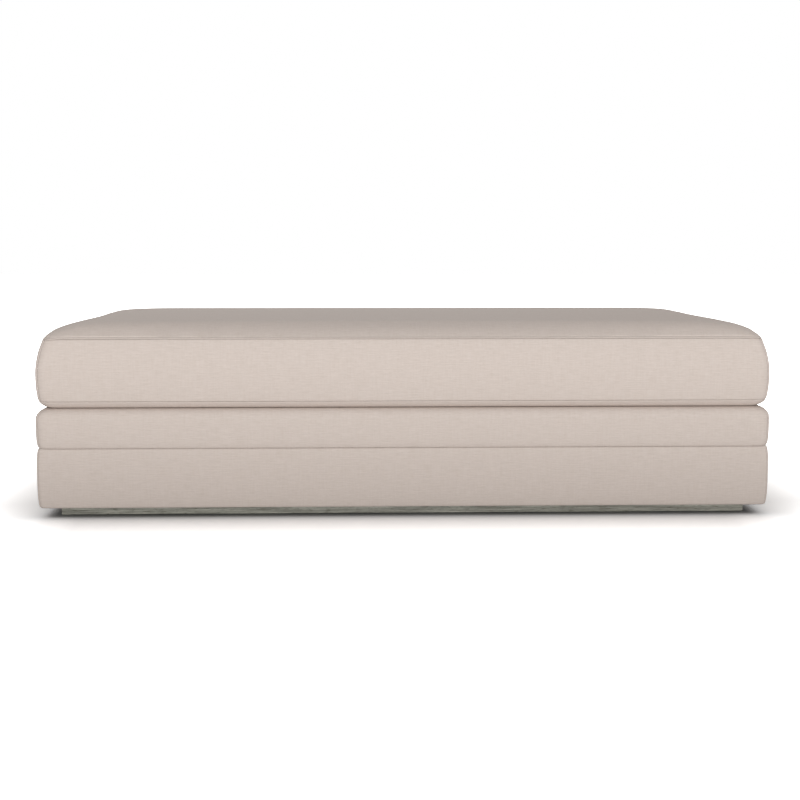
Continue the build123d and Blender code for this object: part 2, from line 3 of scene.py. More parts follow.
import bpy
import numpy as np
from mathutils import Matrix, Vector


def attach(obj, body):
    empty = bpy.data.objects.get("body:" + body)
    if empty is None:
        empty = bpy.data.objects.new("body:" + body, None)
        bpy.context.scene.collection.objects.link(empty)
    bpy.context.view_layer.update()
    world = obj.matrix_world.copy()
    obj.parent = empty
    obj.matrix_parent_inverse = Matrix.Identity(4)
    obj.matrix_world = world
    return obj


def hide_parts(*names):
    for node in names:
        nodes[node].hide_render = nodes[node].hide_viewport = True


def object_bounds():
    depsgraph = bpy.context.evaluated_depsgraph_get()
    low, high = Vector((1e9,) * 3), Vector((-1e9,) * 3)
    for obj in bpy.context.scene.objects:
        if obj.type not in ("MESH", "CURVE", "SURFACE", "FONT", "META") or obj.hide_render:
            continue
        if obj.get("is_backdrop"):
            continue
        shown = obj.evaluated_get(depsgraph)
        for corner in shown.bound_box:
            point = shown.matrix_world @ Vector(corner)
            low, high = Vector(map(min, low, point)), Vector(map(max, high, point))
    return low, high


# Upholstered ottoman: a loose box cushion on a padded band, a plain base panel and a low recessed
# plinth of weathered oak. Metres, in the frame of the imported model, with the front towards -Y.

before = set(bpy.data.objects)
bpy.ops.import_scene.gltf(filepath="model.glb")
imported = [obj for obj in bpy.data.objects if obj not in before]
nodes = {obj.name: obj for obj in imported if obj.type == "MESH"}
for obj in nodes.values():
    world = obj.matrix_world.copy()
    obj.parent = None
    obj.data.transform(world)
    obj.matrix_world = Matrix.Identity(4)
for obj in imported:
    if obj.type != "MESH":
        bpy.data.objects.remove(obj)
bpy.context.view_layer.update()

# Plinth boards: flat oak boards left to weather silver-grey, planed and mitred at the corners.
# The grain runs along each board, with open pores and darker early wood.

MM = 0.001


def linear(code):
    """Linear colour from an sRGB hex code."""
    parts = [int(code[i:i + 2], 16) / 255 for i in (0, 2, 4)]
    return [c / 12.92 if c <= 0.04045 else ((c + 0.055) / 1.055) ** 2.4 for c in parts] + [1.0]


def add_node(tree, kind, inputs=(), stops=(), **settings):
    """A node with its settings, its inputs set to values or linked from sockets, and a ramp's stops."""
    node = tree.nodes.new(kind)
    for key, value in settings.items():
        setattr(node, key, value)
    for key, value in dict(inputs).items():
        if isinstance(value, bpy.types.NodeSocket):
            tree.links.new(value, node.inputs[key])
        else:
            node.inputs[key].default_value = value
    for index, (position, code) in enumerate(stops):
        elements = node.color_ramp.elements
        element = elements[index] if index < 2 else elements.new(position)
        element.position = position
        element.color = linear(code)
    return node


def new_material(name, roughness, **surface):
    """A material with its principled shader, whose uniform numbers sit on the shader's own sockets."""
    material = bpy.data.materials.new(name)
    material.use_nodes = True
    shader = material.node_tree.nodes["Principled BSDF"]
    shader.inputs["Roughness"].default_value = roughness
    for key, value in surface.items():
        shader.inputs[key.replace("_", " ")].default_value = value
    return material, material.node_tree, shader


def dress(material, *node_names):
    """Gives CAD nodes their finish."""
    for name in node_names:
        nodes[name].data.materials.clear()
        nodes[name].data.materials.append(material)


def weathered_oak(name, along):
    """Silver-grey oak: grain lines 3.5 mm apart across the board, pores 0.8 mm wide."""
    material, tree, shader = new_material(name, 0.72)
    place = add_node(tree, "ShaderNodeTexCoord").outputs["Object"]
    found = []
    for width, length, detail in ((3.5, 150, 4.0), (0.8, 20, 2.0)):
        scale = [1 / (MM * width)] * 3
        scale[along] = 1 / (MM * length)
        stretched = add_node(tree, "ShaderNodeMapping", {"Vector": place, "Scale": scale}).outputs[0]
        noise = add_node(tree, "ShaderNodeTexNoise", {"Vector": stretched, "Scale": 1.0, "Detail": detail,
                                                      "Distortion": 0.8})
        found.append(noise.outputs["Fac"])
    tone = add_node(tree, "ShaderNodeValToRGB", {"Fac": found[0]},
                    ((0.30, "7d7c72"), (0.74, "c8c6ba"), (0.48, "a09f94"), (0.60, "b6b5a9"))).outputs[0]
    pores = add_node(tree, "ShaderNodeValToRGB", {"Fac": found[1]},
                     ((0.36, "a8a8a0"), (0.46, "ffffff"))).outputs[0]
    colour = add_node(tree, "ShaderNodeMix", {0: 1.0, 6: tone, 7: pores}, data_type="RGBA",
                      blend_type="MULTIPLY")
    tree.links.new(colour.outputs[2], shader.inputs["Base Color"])
    ridges = add_node(tree, "ShaderNodeBump", {"Strength": 0.6, "Distance": 0.6 * MM, "Height": found[0]})
    fine = add_node(tree, "ShaderNodeBump", {"Strength": 0.5, "Distance": 0.3 * MM, "Height": found[1],
                                             "Normal": ridges.outputs[0]})
    tree.links.new(fine.outputs[0], shader.inputs["Normal"])
    return material


dress(weathered_oak("weathered_oak_along_width", 0), "plinth_front_board", "plinth_rear_board")
dress(weathered_oak("weathered_oak_along_depth", 1), "plinth_left_board", "plinth_right_board")

# Floor glides: small moulded nylon pads pressed under the plinth. Moulded nylon is slightly
# grainy and dull, and it scuffs paler on the floor.


def mottled(name, tones, size, bump, roughness, detail=3.0, **surface):
    """A finish whose tone and relief follow one grain: size is the grain along X, Y and Z in mm, and
    bump its depth in mm. The roughness varies a little with the grain."""
    material, tree, shader = new_material(name, roughness, **surface)
    place = add_node(tree, "ShaderNodeTexCoord").outputs["Object"]
    scaled = add_node(tree, "ShaderNodeMapping", {"Vector": place, "Scale": [1 / (MM * s) for s in size]})
    noise = add_node(tree, "ShaderNodeTexNoise", {"Vector": scaled.outputs[0], "Scale": 1.0,
                                                  "Detail": detail, "Roughness": 0.6})
    grain = noise.outputs["Fac"]
    tone = add_node(tree, "ShaderNodeValToRGB", {"Fac": grain}, ((0.32, tones[0]), (0.68, tones[1])))
    tree.links.new(tone.outputs[0], shader.inputs["Base Color"])
    wear = add_node(tree, "ShaderNodeMapRange", {0: grain, 1: 0.3, 2: 0.7, 3: roughness * 0.85,
                                                 4: min(1.0, roughness * 1.12)})
    tree.links.new(wear.outputs[0], shader.inputs["Roughness"])
    relief = add_node(tree, "ShaderNodeBump", {"Strength": 0.6, "Distance": MM * bump, "Height": grain})
    tree.links.new(relief.outputs[0], shader.inputs["Normal"])
    return material


dress(mottled("moulded_nylon", ("161616", "242424"), (0.8, 0.8, 0.8), 0.05, 0.5), "floor_glides")

# Frame: kiln-dried pine boards and rails, sawn and planed, screwed together with posts in the
# corners. Bare wood with long soft growth lines; each set of boards has its grain along its length.

pine_tones = ("c3a276", "dcc39b")
dress(mottled("planed_pine_along_width", pine_tones, (220, 4, 4), 0.15, 0.6), "front_rail", "rear_rail",
      "bottom_board_front", "bottom_board_rear")
dress(mottled("planed_pine_along_depth", pine_tones, (4, 220, 4), 0.15, 0.6), "left_rail", "right_rail",
      "bottom_board_left", "bottom_board_right", "bottom_cross_boards", "centre_supports")
dress(mottled("planed_pine_upright", pine_tones, (4, 4, 220), 0.15, 0.6), "corner_posts")

# Wood screws, spring clips and staples: steel with a bright zinc plating, bluish and finely
# mottled. The rolled threads and the wire keep it thin, so it is a satin metal.

dress(mottled("zinc_plated_steel", ("a9afb5", "c9cdd0"), (1.5, 1.5, 1.5), 0.02, 0.38, Metallic=1.0),
      "board_screws", "post_screws", "plinth_screws", "front_spring_clips", "rear_spring_clips",
      "cover_staples")

# Springs and tie wires: bent hard-drawn steel wire, oiled after forming, so it is dark and
# half bright with faint drawing marks.

dress(mottled("oiled_spring_wire", ("45484b", "64686b"), (6, 6, 1.2), 0.02, 0.36, Metallic=1.0),
      "sinuous_springs", "tie_wires")

# Insulator and deck pad: a needled felt that keeps the springs off the foam, and a sheet of
# cream polyurethane foam on it. Both are cut with a blade and lie flat under the deck cloth.

HALF_WIDTH, HALF_DEPTH = 890 * MM, 500 * MM
PLAIN_CELLS, FINE_CELLS, CORNER_CELLS = (60, 36), (132, 66), 4


def points(piece):
    """A mesh's points, one row each."""
    co = np.empty(len(piece.data.vertices) * 3, dtype=np.float32)
    piece.data.vertices.foreach_get("co", co)
    return co.reshape(-1, 3).astype(float)


def set_points(piece, co):
    """Moves a mesh's points."""
    piece.data.vertices.foreach_set("co", np.ascontiguousarray(co, dtype=np.float32).ravel())
    piece.data.update()


def finish_modifier(piece, kind, **settings):
    """Adds a modifier and applies it."""
    modifier = piece.modifiers.new("shape", kind)
    for key, value in settings.items():
        setattr(modifier, key, value)
    bpy.context.view_layer.objects.active = piece
    bpy.ops.object.modifier_apply(modifier=modifier.name)


def edit(piece):
    """Opens one piece in edit mode with nothing selected."""
    bpy.ops.object.select_all(action="DESELECT")
    piece.select_set(True)
    bpy.context.view_layer.objects.active = piece
    bpy.ops.object.mode_set(mode="EDIT")
    bpy.ops.mesh.select_mode(type="VERT")
    bpy.ops.mesh.select_all(action="DESELECT")
    bpy.ops.mesh.select_mode(type="FACE")


def skin(name, cells, rows, form="open"):
    """A sewn skin of cloth or a stuffing: a flat panel, and rows down from its edge. Each row is
    (height, inset from the widest outline, corner radius), and the first is the panel's edge. An
    open skin has no bottom, a closed one has the same panel again, and a ring has neither."""
    bpy.ops.object.select_all(action="DESELECT")
    bpy.ops.mesh.primitive_grid_add(x_subdivisions=cells[0], y_subdivisions=cells[1], size=2)
    piece = bpy.context.object
    piece.name = piece.data.name = name
    bpy.ops.object.mode_set(mode="EDIT")
    bpy.ops.mesh.select_mode(type="EDGE")
    bpy.ops.mesh.select_all(action="SELECT")
    bpy.ops.mesh.region_to_loop()
    for _ in rows[1:]:
        bpy.ops.mesh.extrude_region_move(TRANSFORM_OT_translate={"value": (0, 0, -1)})
    if form == "closed":
        bpy.ops.mesh.select_all(action="DESELECT")
        bpy.ops.mesh.primitive_grid_add(x_subdivisions=cells[0], y_subdivisions=cells[1], size=2,
                                        location=(0, 0, 1 - len(rows)))
        bpy.ops.mesh.select_all(action="SELECT")
        bpy.ops.mesh.remove_doubles(threshold=2 * MM)
    bpy.ops.object.mode_set(mode="OBJECT")
    if form == "ring":
        edit(piece)
        bpy.ops.object.mode_set(mode="OBJECT")
        for face in piece.data.polygons[:cells[0] * cells[1]]:
            face.select = True
        bpy.ops.object.mode_set(mode="EDIT")
        bpy.ops.mesh.delete(type="FACE")
        bpy.ops.object.mode_set(mode="OBJECT")
    co = points(piece)
    height, inset, radius = np.array(rows)[np.clip(np.rint(-co[:, 2]).astype(int), 0, len(rows) - 1)].T
    placed = []
    for axis, half in ((0, HALF_WIDTH), (1, HALF_DEPTH)):
        straight = cells[axis] / 2 - CORNER_CELLS
        count = np.abs(co[:, axis]) * cells[axis] / 2
        placed.append((np.minimum(count / straight, 1) * (half - inset - radius),
                       np.clip((count - straight) / CORNER_CELLS, 0, 1)))
    (x, u), (y, v) = placed
    co[:, 0] = np.sign(co[:, 0]) * (x + radius * u * np.sqrt(1 - v * v / 2))
    co[:, 1] = np.sign(co[:, 1]) * (y + radius * v * np.sqrt(1 - u * u / 2))
    co[:, 2] = height
    set_points(piece, co)
    edit(piece)
    bpy.ops.mesh.select_all(action="SELECT")
    bpy.ops.mesh.remove_doubles(threshold=0.01 * MM)
    bpy.ops.mesh.normals_make_consistent(inside=False)
    bpy.ops.object.mode_set(mode="OBJECT")
    outward = [face for face in piece.data.polygons if face.center.x > 0.7 and abs(face.normal.x) > 0.5]
    if form == "open" and outward[0].normal.x < 0:
        piece.data.flip_normals()
    piece.data.shade_smooth()
    return piece


def slab_rows(low, high, inset, radius, edge):
    """Rows of a slab whose edges are rounded by that much."""
    turns = [pi / 2 * k / 3 for k in range(4)]
    top = [(high - edge * (1 - cos(t)), inset + edge * (1 - sin(t)), radius) for t in turns]
    return top + [(low + high - h, i, r) for h, i, r in reversed(top)]


def fill(piece, material, body, slot, *replaced, tight=0.8):
    """Gives a stuffed or foam piece its material and its body, and hides the solids it replaces and stands
    for.
    """
    piece.data.materials.append(material)
    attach(piece, body)
    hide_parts(*replaced)


felt = mottled("needled_felt", ("5a5957", "8b8885"), (6, 6, 2), 0.5, 0.98, detail=6.0)
foam = mottled("cut_polyurethane_foam", ("e2d8b8", "f2ebd2"), (1.6, 1.6, 1.6), 0.5, 0.9, detail=2.0)
felt_low, pad_low, pad_high = 221.51 * MM, 224.51 * MM, 264.51 * MM
felt_inset, felt_edge, pad_inset, pad_edge, cut_radius = 16 * MM, 1.2 * MM, 75 * MM, 3 * MM, 6 * MM
insulator = skin("spring_insulator_felt", PLAIN_CELLS,
                 slab_rows(felt_low, pad_low, felt_inset, cut_radius, felt_edge), "closed")
fill(insulator, felt, "base", "felt", "spring_insulator")
pad = skin("deck_pad_foam", PLAIN_CELLS,
           slab_rows(pad_low, pad_high, pad_inset, cut_radius, pad_edge), "closed")
fill(pad, foam, "base", "foam", "deck_pad")

# Edge rolls: dense foam in a D section, glued round the top of the frame. They carry the band
# cover over the rails and keep the cushion from sliding.

roll_inset, roll_back, roll_radius, roll_corner = 1.5 * MM, 74.6 * MM, 24.5 * MM, 25 * MM
roll_turns = [pi / 2 * k / 6 for k in range(7)]
roll_rows = [(pad_low, roll_back, cut_radius), (pad_high, roll_back, cut_radius)]
roll_rows += [(pad_high - roll_radius * (1 - cos(t)), roll_inset + roll_radius * (1 - sin(t)), roll_corner)
              for t in roll_turns]
roll_rows += [(pad_low, roll_inset, roll_corner), (pad_low, roll_back, cut_radius)]
fill(skin("edge_rolls_foam", PLAIN_CELLS, roll_rows, "ring"), foam, "base", "foam", "edge_rolls")

# Waddings of the band and the base panel: bonded white polyester fibre, stapled round the rails
# under the covers, which it keeps full and without hard edges.


def wall_rows(high, low, inset, draw_in, radius, shares):
    """Rows down a wall; shares go up the wall as (share of the height, share drawn in)."""
    return [(low + (high - low) * at, inset + draw_in * drawn, radius) for at, drawn in reversed(shares)]


wadding = mottled("bonded_polyester_wadding", ("e4e4e1", "fbfbf9"), (9, 9, 3), 0.9, 1.0, detail=7.0)
band_seam, base_foot, wadding_back = 169.8 * MM, 25.1 * MM, 14.8 * MM
base_shares = ((0, 1), (.02, .72), (.06, .50), (.13, .25), (.26, .05), (.50, 0), (.78, 0), (.90, .12),
               (.96, .36), (1, .75))
band_shares = ((0, 1), (.06, .55), (.16, .25), (.34, .06), (.62, 0), (1, 0))
for name, high, low, inset, draw_in, radius, shares in (
        ("band_wadding", pad_low, band_seam, 1.5 * MM, 6.5 * MM, 24 * MM, band_shares),
        ("base_wadding", band_seam, base_foot, 3.5 * MM, 6 * MM, 13 * MM, base_shares)):
    wadding_rows = [(high, wadding_back, cut_radius)] + wall_rows(high, low, inset, draw_in, radius, shares)
    wadding_rows += [(low, wadding_back, cut_radius), (high, wadding_back, cut_radius)]
    fill(skin(name + "_fibre", PLAIN_CELLS, wadding_rows, "ring"), wadding, "base", "wadding", name)

# Deck cloth: black bonded lining stretched over the deck pad inside the band, and the dust cover
# of the same cloth stapled under the frame. It is spun-bonded, so it has no weave but a fine print.


def cloth_piece(piece, material, body, slot, flat, rests_on, *replaced, area=None, thickness=1.5 * MM):
    """A sheet of cloth stretched over a filling: gives it its thickness, inwards, its material and its
    body, and hides the solids it replaces.
    """
    wall = piece.modifiers.new("thickness", "SOLIDIFY")
    wall.thickness, wall.offset = thickness, -1.0
    bpy.context.view_layer.objects.active = piece
    bpy.ops.object.modifier_apply(modifier=wall.name)
    piece.data.shade_smooth()
    piece.data.materials.append(material)
    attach(piece, body)
    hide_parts(*replaced)


def flat_cloth(name, height, inset):
    """A flat sheet stretched between its fixed edges, and its size."""
    bpy.ops.object.select_all(action="DESELECT")
    bpy.ops.mesh.primitive_grid_add(x_subdivisions=90, y_subdivisions=50, size=2)
    piece = bpy.context.object
    piece.name = piece.data.name = name
    co = points(piece)
    co[:, :2] *= (HALF_WIDTH - inset, HALF_DEPTH - inset)
    co[:, 2] = height
    set_points(piece, co)
    return piece, (2 * (HALF_WIDTH - inset), 2 * (HALF_DEPTH - inset))


lining = mottled("spun_bonded_lining", ("2b2b2d", "3a3a3c"), (1.4, 1.4, 1.4), 0.12, 0.95, detail=1.0)
deck_level, deck_inset, dust_level, dust_inset = 266.01 * MM, 80 * MM, 23.6 * MM, 30 * MM
deck, flat = flat_cloth("deck_lining_cloth", deck_level, deck_inset)
cloth_piece(deck, lining, "base", "lining_cloth", flat, ["deck_pad_foam"], "deck_cloth")
dust, flat = flat_cloth("dust_cover_cloth", dust_level, dust_inset)
cloth_piece(dust, lining, "base", "lining_cloth", flat, ["bottom_board_front"], "dust_cover",
            thickness=0.6 * MM)

# Base panel cover: four pieces of plain-woven slub cloth sewn together at the corners, pulled
# down over the wadding from the seam under the band and stapled under the frame.

SIDES = ("front", "rear", "left", "right")


def woven_cloth(name):
    """Warm greige slub cloth. Slubs are 32 mm long and 2.8 mm tall and follow the weft; the threads
    are drawn 2.4 mm apart, coarser than the real 1 mm, so that the weave shows."""
    material, tree, shader = new_material(name, 0.92, Sheen_Weight=0.04, Sheen_Roughness=0.5,
                                          Specular_IOR_Level=0.12)
    place = add_node(tree, "ShaderNodeAttribute", attribute_name="cut").outputs["Vector"]
    found = []
    for length, width, detail in ((32, 2.8, 3.0), (3.5, 45, 2.0), (9.0, 2.2, 1.0)):
        scaled = add_node(tree, "ShaderNodeMapping", {"Vector": place,
                                                      "Scale": (1 / (MM * length), 1 / (MM * width), 1.0)})
        noise = add_node(tree, "ShaderNodeTexNoise", {"Vector": scaled.outputs[0], "Scale": 1.0,
                                                      "Detail": detail})
        found.append(noise.outputs["Fac"])
    threads = [add_node(tree, "ShaderNodeTexWave", {"Vector": place, "Scale": 2 * pi / 20 / (2.4 * MM),
                                                    "Distortion": 1.2, "Detail": 1.0, "Detail Scale": 2.0},
                        bands_direction=way).outputs["Fac"] for way in ("X", "Y")]
    weave = add_node(tree, "ShaderNodeMath", {0: threads[0], 1: threads[1]}, operation="MAXIMUM").outputs[0]
    tone = add_node(tree, "ShaderNodeValToRGB", {"Fac": found[0]},
                    ((0.22, "ccc0b7"), (0.80, "d8ccc4"), (0.5, "d2c6be"))).outputs[0]
    for factor, low, at in ((found[1], "fcfbfa", (0.30, 0.65)), (found[2], "fbfaf9", (0.30, 0.60))):
        part = add_node(tree, "ShaderNodeValToRGB", {"Fac": factor}, ((at[0], low), (at[1], "ffffff")))
        tone = add_node(tree, "ShaderNodeMix", {0: 1.0, 6: tone, 7: part.outputs[0]}, data_type="RGBA",
                        blend_type="MULTIPLY").outputs[2]
    tree.links.new(tone, shader.inputs["Base Color"])
    slubs = add_node(tree, "ShaderNodeBump", {"Strength": 0.12, "Distance": 0.4 * MM, "Height": found[0]})
    fine = add_node(tree, "ShaderNodeBump", {"Strength": 0.15, "Distance": 0.3 * MM, "Height": weave,
                                             "Normal": slubs.outputs[0]})
    tree.links.new(fine.outputs[0], shader.inputs["Normal"])
    return material


slub_cloth = woven_cloth("woven_slub_cloth")


def panel_of(source, name, keep):
    """A panel cut from a sewn skin: the faces whose centres keep() accepts."""
    piece = source.copy()
    piece.data = source.data.copy()
    piece.name = piece.data.name = name
    bpy.context.collection.objects.link(piece)
    edit(piece)
    bpy.ops.object.mode_set(mode="OBJECT")
    centres = np.empty(len(piece.data.polygons) * 3, dtype=np.float32)
    piece.data.polygons.foreach_get("center", centres)
    piece.data.polygons.foreach_set("select", ~keep(centres.reshape(-1, 3)))
    bpy.ops.object.mode_set(mode="EDIT")
    bpy.ops.mesh.delete(type="FACE")
    bpy.ops.object.mode_set(mode="OBJECT")
    return piece


def on_side(side, low=-1.0, high=1.0):
    """Accepts what is on that side of the corner seams, between two heights."""
    def keep(c):
        across, along = HALF_WIDTH - np.abs(c[:, 0]), HALF_DEPTH - np.abs(c[:, 1])
        level = (c[:, 2] > low) & (c[:, 2] < high)
        if side in ("front", "rear"):
            return level & (along < across) & ((c[:, 1] < 0) == (side == "front"))
        return level & (across <= along) & ((c[:, 0] < 0) == (side == "left"))
    return keep


STRIP_STEP, CUT_MARGIN = 2.3, 1.0005


def cut_wall(piece, side):
    """Stores where each point lies on a strip, along the weft and up the wall, and returns its size.
    Each side's strip comes from its own part of the cloth."""
    co = points(piece)
    along = co[:, 0] if side in ("front", "rear") else co[:, 1]
    values = np.column_stack([along + STRIP_STEP * (1 + SIDES.index(side)), co[:, 2], 0 * along])
    piece.data.attributes.new("cut", "FLOAT_VECTOR", "POINT").data.foreach_set(
        "vector", values.astype(np.float32).ravel())
    size = (float(np.ptp(along)), float(np.ptp(co[:, 2])))
    area = sum(face.area for face in piece.data.polygons)
    return (size[0], max(size[1], area / size[0]) * CUT_MARGIN), area


def outward_of(piece):
    """The direction in which each point of a piece faces."""
    normals = np.empty(len(piece.data.vertices) * 3, dtype=np.float32)
    piece.data.vertices.foreach_get("normal", normals)
    return normals.reshape(-1, 3).astype(float)


SEAM_WIDTH, LEVEL_REACH = 2.5 * MM, 1.5 * MM


def crease(piece, height, *lines):
    """Works a seam into a skin at a height: each line is (distance above the seam, how far it stands
    out), in mm. The seam itself stays level, and what lies further off moves straight out."""
    lines = np.array(lines) * MM
    edit(piece)
    for at in lines[:, 0]:
        bpy.ops.mesh.select_all(action="SELECT")
        bpy.ops.mesh.bisect(plane_co=(0, 0, height + at), plane_no=(0, 0, 1))
    bpy.ops.object.mode_set(mode="OBJECT")
    co = points(piece)
    stand = np.interp(co[:, 2] - height, lines[:, 0], lines[:, 1], left=0, right=0)
    move = outward_of(piece) * stand[:, None]
    move[:, 2] *= np.abs(co[:, 2] - height) > LEVEL_REACH
    set_points(piece, co + move)


def corner_seams(piece, low, high, depth):
    """Draws the cloth in along the upright seams of the four corners, by that depth on the diagonal."""
    co = points(piece)
    off = np.abs((HALF_WIDTH - np.abs(co[:, 0])) - (HALF_DEPTH - np.abs(co[:, 1]))) / 2 ** 0.5
    level = (co[:, 2] >= low) & (co[:, 2] <= high)
    pull = 0.7 * depth * np.clip(1 - off / SEAM_WIDTH, 0, 1) * level
    co[:, :2] -= np.sign(co[:, :2]) * pull[:, None]
    set_points(piece, co)


base_inset, base_draw, base_corner, base_turned, corner_draw = 2 * MM, 6 * MM, 14 * MM, 68 * MM, 0.8 * MM
base_rows = wall_rows(band_seam, dust_level, base_inset, base_draw, base_corner,
                      base_shares[:-1] + ((1, .6),))
base_rows.append((dust_level, base_turned, cut_radius))
base_skin = skin("base_skin", FINE_CELLS, base_rows)
finish_modifier(base_skin, "SUBSURF", levels=1, render_levels=1)
corner_seams(base_skin, dust_level, band_seam - 0.1 * MM, corner_draw)
for side in SIDES:
    piece = panel_of(base_skin, f"base_cover_{side}_cloth", on_side(side, high=band_seam - 0.05 * MM))
    flat, area = cut_wall(piece, side)
    cloth_piece(piece, slub_cloth, "base", "woven_cover", flat, ["base_wadding_fibre"],
                f"base_cover_{side}", area=area)
bpy.data.objects.remove(base_skin)

# Band cover: a padded band round the top of the base, four pieces sewn at the corners, rolled
# over the edge rolls at the top and sewn to the deck cloth. A seam draws its lower edge in.

band_top, band_back, band_flat, shoulder, shoulder_radius, band_draw = (
    266.008 * MM, 80 * MM, 52 * MM, 240 * MM, 26 * MM, 5.6 * MM)
band_rows = [(band_top, band_back, roll_corner), (band_top, band_flat, roll_corner)]
band_rows += [(shoulder + shoulder_radius * cos(turn), shoulder_radius * (1 - sin(turn)), roll_corner)
              for turn in (pi / 2 * k / 8 for k in range(8))]
band_rows += wall_rows(shoulder, band_seam, 0, band_draw, roll_corner, band_shares)
band_skin = skin("band_skin", FINE_CELLS, band_rows)
finish_modifier(band_skin, "SUBSURF", levels=1, render_levels=1)
corner_seams(band_skin, band_seam, shoulder + shoulder_radius, corner_draw)
for side in SIDES:
    piece = panel_of(band_skin, f"band_cover_{side}_cloth", lambda c: on_side(side)(c) & (
        np.maximum(np.abs(c[:, 0]) - HALF_WIDTH, np.abs(c[:, 1]) - HALF_DEPTH) > -band_back))
    flat, area = cut_wall(piece, side)
    cloth_piece(piece, slub_cloth, "base", "woven_cover", flat, ["band_wadding_fibre", "edge_rolls_foam"],
                f"band_cover_{side}", area=area)
bpy.data.objects.remove(band_skin)

# Cushion filling: a block of firm foam, die-cut with blunt edges. A soft wrap of bonded fibre
# goes round it in two halves and makes the cushion crown.

core_low, core_high, core_inset = 279.81 * MM, 429.81 * MM, 24.5 * MM
core_corner, core_edge = 14 * MM, 8 * MM
core_rows = slab_rows(core_low, core_high, core_inset, core_corner, core_edge)
fill(skin("cushion_foam_core_block", PLAIN_CELLS, core_rows, "closed"), foam, "cushion", "foam",
     "cushion_foam_core")

# Cushion cover: a crowned top panel, boxing strips on the four sides and a bottom panel that
# curls under. The filling pushes it full between its seams, which are sewn from the inside. The
# crown leaves the side seams as an ellipse, and the front and rear seams at a gentler slope.

seam_top, split, seam_low, cushion_low = 432.308 * MM, 356.808 * MM, 282.8 * MM, 266.308 * MM
seam_inset, boxing_inset, curl_inset, cushion_corner = 17.5 * MM, 1.5 * MM, 7.1 * MM, 28 * MM
boxing_draw, curl_draw = 16 * MM, 22.32 * MM
boxing_shares = ((0, .35), (.05, .21), (.14, .09), (.25, .02), (.36, 0), (.46, 0), (.56, .04), (.68, .19),
                 (.81, .44), (.92, .76), (1, 1))
curl_shares = ((0, 1), (.06, .76), (.22, .50), (.48, .27), (.76, .10), (1, 0))
rise, side_run, front_run, corner_growth = 36.4 * MM, 123 * MM, 135 * MM, 0.8
crown = [(rise * sin(turn), side_run * (1 - cos(turn)))
         for turn in (pi / 2 * k / 12 for k in range(12, 0, -1))]
cushion_rows = [(seam_top + up, seam_inset + gone, cushion_corner + corner_growth * gone)
                for up, gone in crown]
cushion_rows += wall_rows(seam_top, seam_low, boxing_inset, boxing_draw, cushion_corner, boxing_shares)
cushion_rows += wall_rows(seam_low, cushion_low, curl_inset, curl_draw, cushion_corner, curl_shares)[1:]

cushion = skin("cushion_skin", FINE_CELLS, cushion_rows, "closed")
start = points(cushion)
share = np.clip((start[:, 2] - seam_top) / rise, 0, 1)
side_gone, front_gone = side_run * (1 - (1 - share ** 2) ** 0.5), front_run * (1 - (1 - share) ** 0.36)
seam_depth = HALF_DEPTH - seam_inset
start[:, 1] *= (seam_depth - front_gone) / (seam_depth - side_gone)
set_points(cushion, start)
held = cushion.vertex_groups.new(name="held")
slack = 0.1 * MM
sewn = (np.abs(start[:, 2] - seam_top) < slack) | (start[:, 2] < seam_low + slack)
held.add([int(i) for i in np.flatnonzero(sewn)], 1.0, "REPLACE")
outward = outward_of(cushion)
last_frame, crown_fullness, boxing_fullness, hollow_share = 20, 3.2 * MM, 2.4 * MM, 0.2
cloth = cushion.modifiers.new("filled", "CLOTH")
cloth.settings.quality = 6
cloth.settings.use_pressure = True
cloth.settings.uniform_pressure_force = 4
cloth.settings.effector_weights.gravity = 0
cloth.settings.vertex_group_mass = "held"
cloth.settings.shrink_min = -0.008
cloth.point_cache.frame_start, cloth.point_cache.frame_end = 1, last_frame
for number in range(1, last_frame + 1):
    bpy.context.scene.frame_set(number)
bpy.context.view_layer.objects.active = cushion
bpy.ops.object.modifier_apply(modifier=cloth.name)
bpy.context.scene.frame_set(1)
fuller = ((points(cushion) - start) * outward).sum(axis=1)
most = np.where(start[:, 2] > seam_top, crown_fullness, boxing_fullness)
most *= np.where(fuller > 0, 1, hollow_share)
set_points(cushion, start + outward * (most * np.tanh(fuller / (2 * most)))[:, None])
finish_modifier(cushion, "SUBSURF", levels=1, render_levels=1)

# Cushion wrap: its two halves fill the cover from inside and meet halfway up. Each is hollowed to
# the size of the foam block, and pressed in behind the zip.

droop_reach, droop_depth = 90 * MM, 5 * MM


def droop(piece):
    """Lowers the top seam towards the four corners, where the cover pulls it down."""
    co = points(piece)
    corner = (np.clip(1 - (HALF_WIDTH - np.abs(co[:, 0])) / droop_reach, 0, 1)
              * np.clip(1 - (HALF_DEPTH - np.abs(co[:, 1])) / droop_reach, 0, 1))
    co[:, 2] -= droop_depth * corner ** 1.5 * np.clip((co[:, 2] - split) / (seam_top - split), 0, 1)
    set_points(piece, co)


